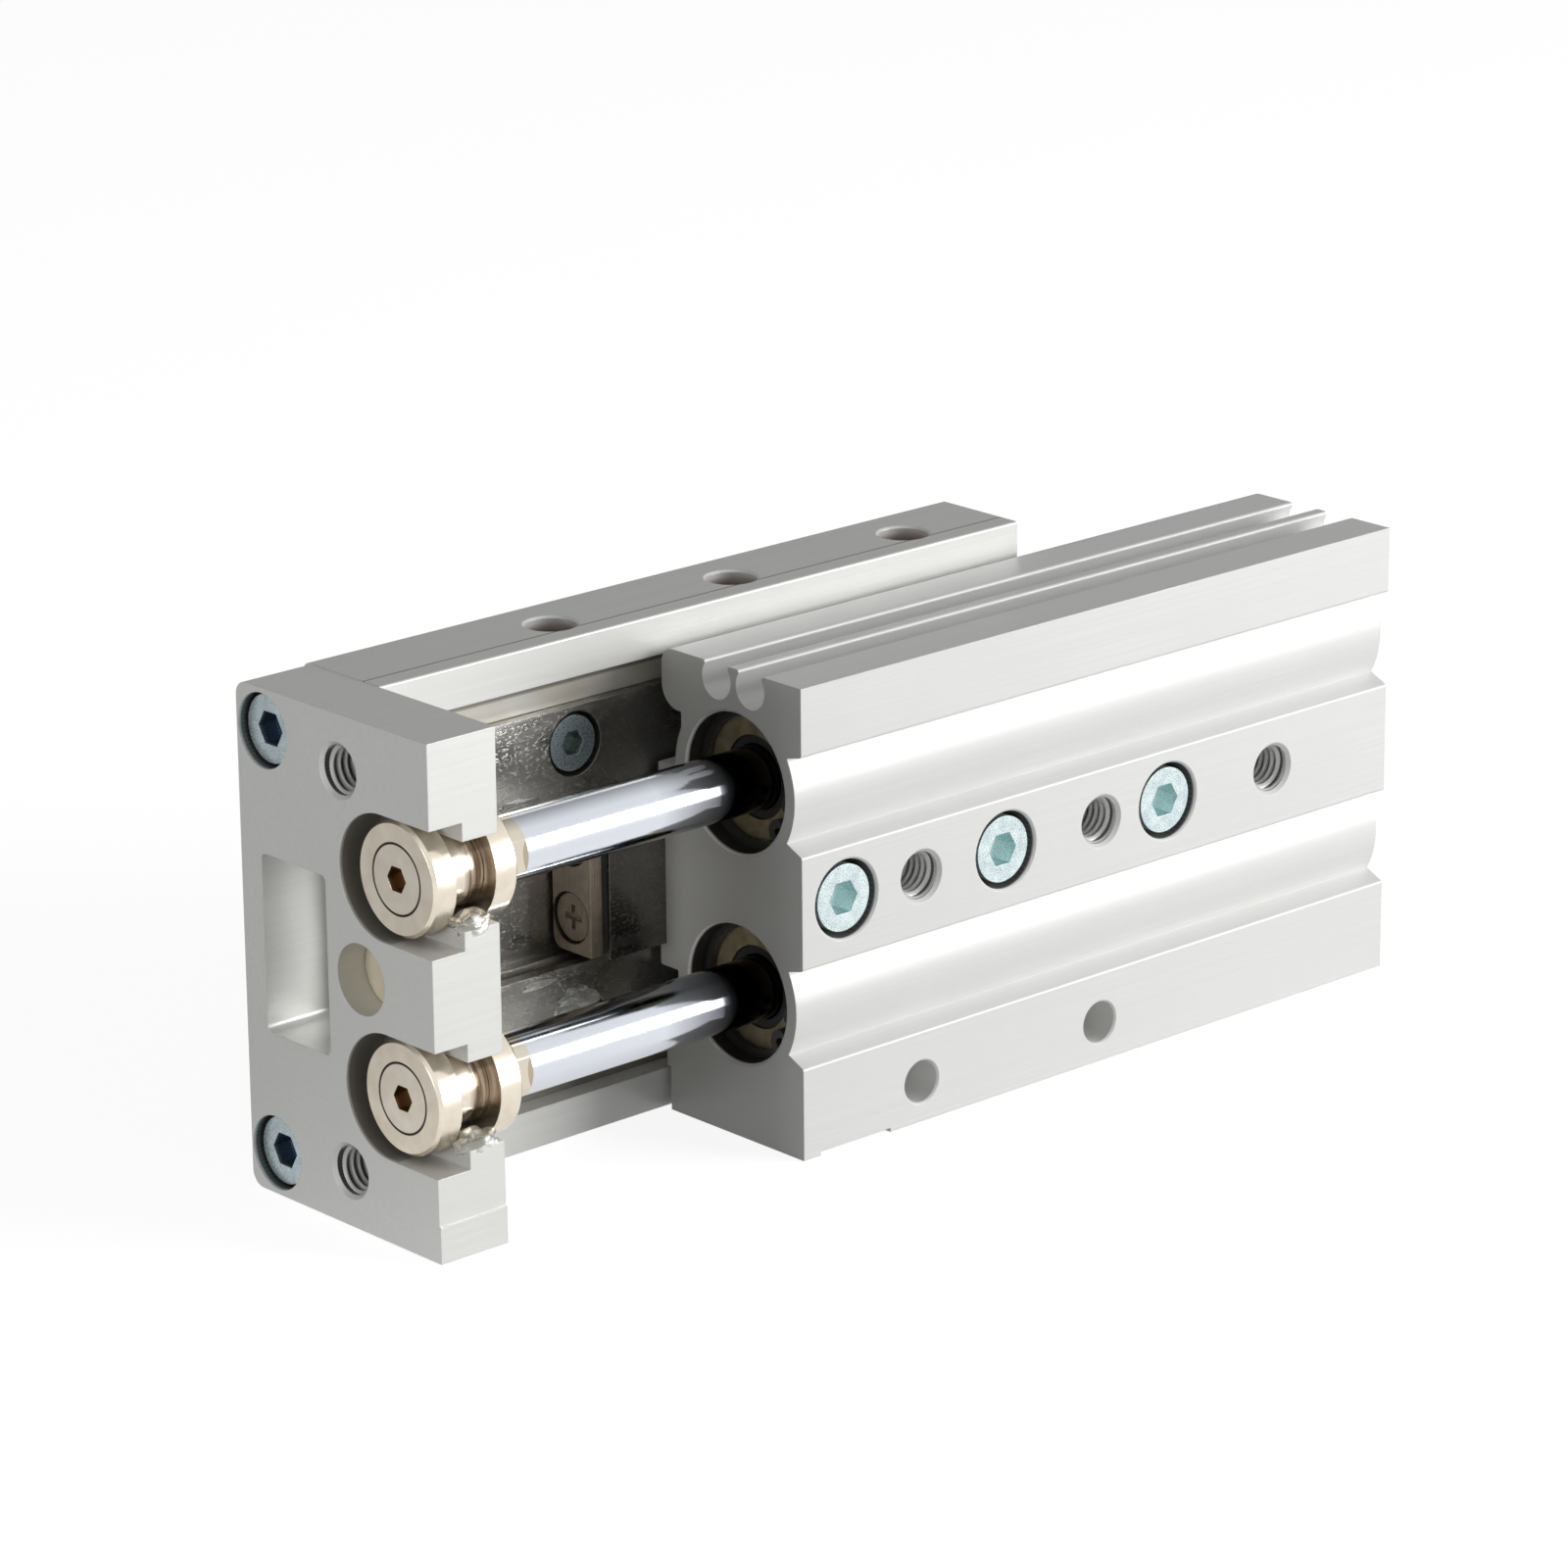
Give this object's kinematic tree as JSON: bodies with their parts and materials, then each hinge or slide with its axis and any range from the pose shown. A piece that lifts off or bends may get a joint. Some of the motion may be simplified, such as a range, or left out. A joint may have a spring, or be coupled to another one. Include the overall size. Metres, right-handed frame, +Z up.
{
  "type": "slide table cylinder",
  "caption": "Compact air slide table: twin rods push an end plate and a ball guided table along an extruded cylinder body.",
  "frame": {"origin": "under the middle of the overall box, on the surface the part stands on", "axes": "+X along the stroke towards the rear of the body, -Y out of the mounting face, +Y out of the table top, +Z up across the width"},
  "size_m": [0.1564, 0.04, 0.0639],
  "materials": {
    "body_aluminium": "clear anodised, fine satin",
    "plate_aluminium": "clear anodised, fine satin",
    "hard_chrome": "hard chromed, polished",
    "nickel": "nickel plated, turned",
    "zinc_screw": "blue zinc plated",
    "guide_steel": "ground bearing steel, greased",
    "cover_steel": "brushed stainless steel",
    "ball_steel": "polished balls",
    "black_rubber": "nitrile, matte",
    "beige_rubber": "urethane, matte",
    "black_resin": "moulded",
    "cover_bronze": "olive brown anodised",
    "ring_steel": "black phosphated spring steel",
    "magnet": "sintered magnet"
  },
  "bodies": {
    "cylinder": {"cylinder_body": "body_aluminium", "passage_plugs": "ball_steel", "rod_cover_upper": "cover_bronze", "rod_seal_upper": "black_rubber", "cover_oring_upper": "black_rubber", "front_bumper_upper": "beige_rubber", "head_cap_upper": "cover_bronze", "cap_oring_upper": "black_rubber", "rear_bumper_upper": "beige_rubber", "cover_ring_upper": "ring_steel", "cap_ring_upper": "ring_steel", "ball_row_upper": "ball_steel", "rod_cover_lower": "cover_bronze", "rod_seal_lower": "black_rubber", "cover_oring_lower": "black_rubber", "front_bumper_lower": "beige_rubber", "head_cap_lower": "cover_bronze", "cap_oring_lower": "black_rubber", "rear_bumper_lower": "beige_rubber", "cover_ring_lower": "ring_steel", "cap_ring_lower": "ring_steel", "ball_row_lower": "ball_steel", "guide_block": "guide_steel", "guide_block_screws": "zinc_screw", "return_guide_front": "black_resin", "scraper_front": "black_rubber", "guide_cover_front": "cover_steel", "guide_cover_screws_front": "cover_steel", "return_guide_rear": "black_resin", "scraper_rear": "black_rubber", "guide_cover_rear": "cover_steel", "guide_cover_screws_rear": "cover_steel"},
    "slide_table": {"table": "plate_aluminium", "table_rail": "guide_steel", "table_rail_screws": "zinc_screw", "end_plate": "plate_aluminium", "end_plate_screws": "zinc_screw", "end_stopper": "beige_rubber", "rod_upper": "hard_chrome", "float_bush_upper": "nickel", "rod_collar_upper": "nickel", "bush_screw_upper": "nickel", "piston_upper": "body_aluminium", "piston_seal_upper": "black_rubber", "magnet_upper": "magnet", "rod_lower": "hard_chrome", "float_bush_lower": "nickel", "rod_collar_lower": "nickel", "bush_screw_lower": "nickel", "piston_lower": "body_aluminium", "piston_seal_lower": "black_rubber", "magnet_lower": "magnet"}
  },
  "joints": [
    {"name": "table_slide", "type": "slide", "parent": "cylinder", "child": "slide_table", "axis": [1, 0, 0], "range_m": [0, 0.04]}
  ]
}
